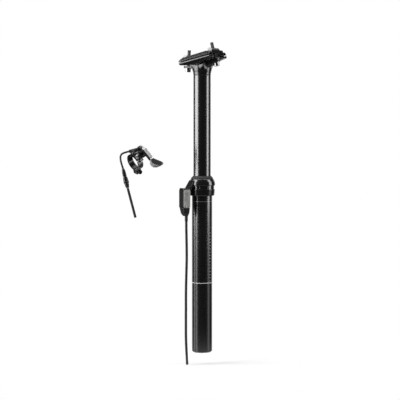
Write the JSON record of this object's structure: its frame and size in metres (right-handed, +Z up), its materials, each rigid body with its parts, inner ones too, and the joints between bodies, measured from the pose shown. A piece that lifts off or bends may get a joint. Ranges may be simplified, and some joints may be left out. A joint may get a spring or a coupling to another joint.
{
  "type": "dropper seatpost",
  "caption": "Dropper seatpost with sliding black post, two-bolt saddle clamp, collar cable actuator and a bar-mounted thumb remote.",
  "frame": {"origin": "on the post's axis at the collar's lower face, the top end of the tube that goes into the seat tube", "axes": "+X bike front, +Y bike left, +Z up the post"},
  "size_m": [0.1433, 0.101, 0.4998],
  "materials": {
    "black_anodised": "glossy black anodised",
    "black_forged": "satin black anodised forging",
    "grey_clamp": "grey-black anodised",
    "bolt_steel": "black oxide steel",
    "bright_steel": "bright steel",
    "rubber": "matt black rubber",
    "bearing": "plain bearing",
    "brass": "machined brass",
    "black_plastic": "fine moulded black plastic",
    "grey_cover": "grey moulded plastic",
    "cable_black": "black plastic cable housing",
    "cartridge_alloy": "drawn alloy",
    "remote_black": "black anodised",
    "silver_alloy": "polished silver alloy",
    "rocker_steel": "pressed steel"
  },
  "bodies": {
    "lower": {"lower_tube": "black_anodised", "foot_cap": "black_anodised", "foot_nut": "bright_steel", "collar_sleeve": "black_forged", "collar_ring": "black_forged", "collar_cap": "black_forged", "wiper_seal": "rubber", "upper_bushing": "bearing", "actuator_housing": "black_plastic", "actuator_cover": "grey_cover", "actuator_screws": "bolt_steel", "actuator_boot": "black_plastic", "rocker_pin": "bright_steel", "rocker_spring": "bright_steel", "cable_ferrule": "black_plastic", "actuator_cable": "cable_black", "piston_rod": "bright_steel", "piston": "brass", "piston_seal": "rubber", "remote_bracket": "remote_black", "clamp_band": "silver_alloy", "clamp_hinge_pin": "bright_steel", "clamp_bolt": "bolt_steel", "pivot_bolt": "bright_steel", "pivot_nut": "bright_steel", "lever_spring": "bright_steel", "noodle_tube": "cable_black", "adjuster_sleeve": "rubber", "adjuster_core": "bright_steel", "adjuster_ferrule": "black_plastic", "remote_cable": "cable_black"},
    "post": {"stanchion": "black_anodised", "seat_head": "black_forged", "cartridge_tube": "cartridge_alloy", "cartridge_cap": "cartridge_alloy", "rod_gland": "cartridge_alloy", "lower_bushing": "bearing", "guide_keys": "brass", "front_washer": "bright_steel", "rear_washer": "bright_steel"},
    "float": {"floating_piston": "brass"},
    "clamp": {"lower_cradle": "black_forged", "upper_clamp": "grey_clamp"},
    "front_nut": {"front_nut": "bolt_steel"},
    "rear_nut": {"rear_nut": "bolt_steel"},
    "front_bolt": {"front_bolt": "bolt_steel"},
    "rear_bolt": {"rear_bolt": "bolt_steel"},
    "lever": {"lever_arm": "silver_alloy", "thumb_pad": "black_plastic", "cable_anchor": "bright_steel"},
    "rocker": {"release_rocker": "rocker_steel"},
    "release": {"release_strip": "bright_steel", "valve_ring": "brass"},
    "knob": {"adjuster_knob": "black_plastic"}
  },
  "joints": [
    {"name": "post_slide", "type": "slide", "parent": "lower", "child": "post", "axis": [0, 0, 1], "range_m": [-0.15, 0], "stiffness_N_per_m": 600, "springref_m": 0.35},
    {"name": "float_slide", "type": "slide", "parent": "post", "child": "float", "axis": [0, 0, 1], "range_m": [0, 0.0267]},
    {"name": "saddle_tilt", "type": "hinge", "parent": "post", "child": "clamp", "pos_m": [0, 0, 0.2115], "axis": [0, 1, 0], "range_deg": [-8, 8]},
    {"name": "front_bolt_lean", "type": "hinge", "parent": "post", "child": "front_bolt", "pos_m": [0.02492, 0, 0.19872], "axis": [0, 1, 0], "range_deg": [-3, 3]},
    {"name": "rear_bolt_lean", "type": "hinge", "parent": "post", "child": "rear_bolt", "pos_m": [-0.02493, 0, 0.20691], "axis": [0, 1, 0], "range_deg": [-5, 5]},
    {"name": "front_nut_turn", "type": "hinge", "parent": "clamp", "child": "front_nut", "pos_m": [0.02383, 0, 0.21298], "axis": [0, 1, 0], "range_deg": [-12, 12]},
    {"name": "rear_nut_turn", "type": "hinge", "parent": "clamp", "child": "rear_nut", "pos_m": [-0.02034, 0, 0.224], "axis": [0, 1, 0], "range_deg": [-12, 12]},
    {"name": "lever_swing", "type": "hinge", "parent": "lower", "child": "lever", "pos_m": [0.07341, 0.06409, 0.06299], "axis": [-0.3562, -0.835, 0.4195], "range_deg": [0, 22], "stiffness_Nm_per_rad": 0.3, "springref_deg": -34.38},
    {"name": "rocker_swing", "type": "hinge", "parent": "lower", "child": "rocker", "pos_m": [0.0161, 0.02789, 0.004], "axis": [0.866, -0.5, 0], "range_deg": [0, 17.2]},
    {"name": "strip_slide", "type": "slide", "parent": "lower", "child": "release", "axis": [0, 0, 1], "range_m": [-0.0032, 0]},
    {"name": "knob_turn", "type": "hinge", "parent": "lower", "child": "knob", "pos_m": [0.10644, 0.06145, 0.0414], "axis": [-0.2036, -0.1176, -0.972], "range_deg": [-360, 360]}
  ],
  "couplings": [
    {"joint": "float_slide", "follows": "post_slide", "ratio": -0.17728},
    {"joint": "front_bolt_lean", "follows": "saddle_tilt", "ratio": -0.0546},
    {"joint": "rear_bolt_lean", "follows": "saddle_tilt", "ratio": 0.3808},
    {"joint": "front_nut_turn", "follows": "saddle_tilt", "ratio": -1.0546},
    {"joint": "rear_nut_turn", "follows": "saddle_tilt", "ratio": -0.6192},
    {"joint": "rocker_swing", "follows": "lever_swing", "ratio": 0.77273},
    {"joint": "strip_slide", "follows": "lever_swing", "m_per_rad": -0.008073}
  ]
}
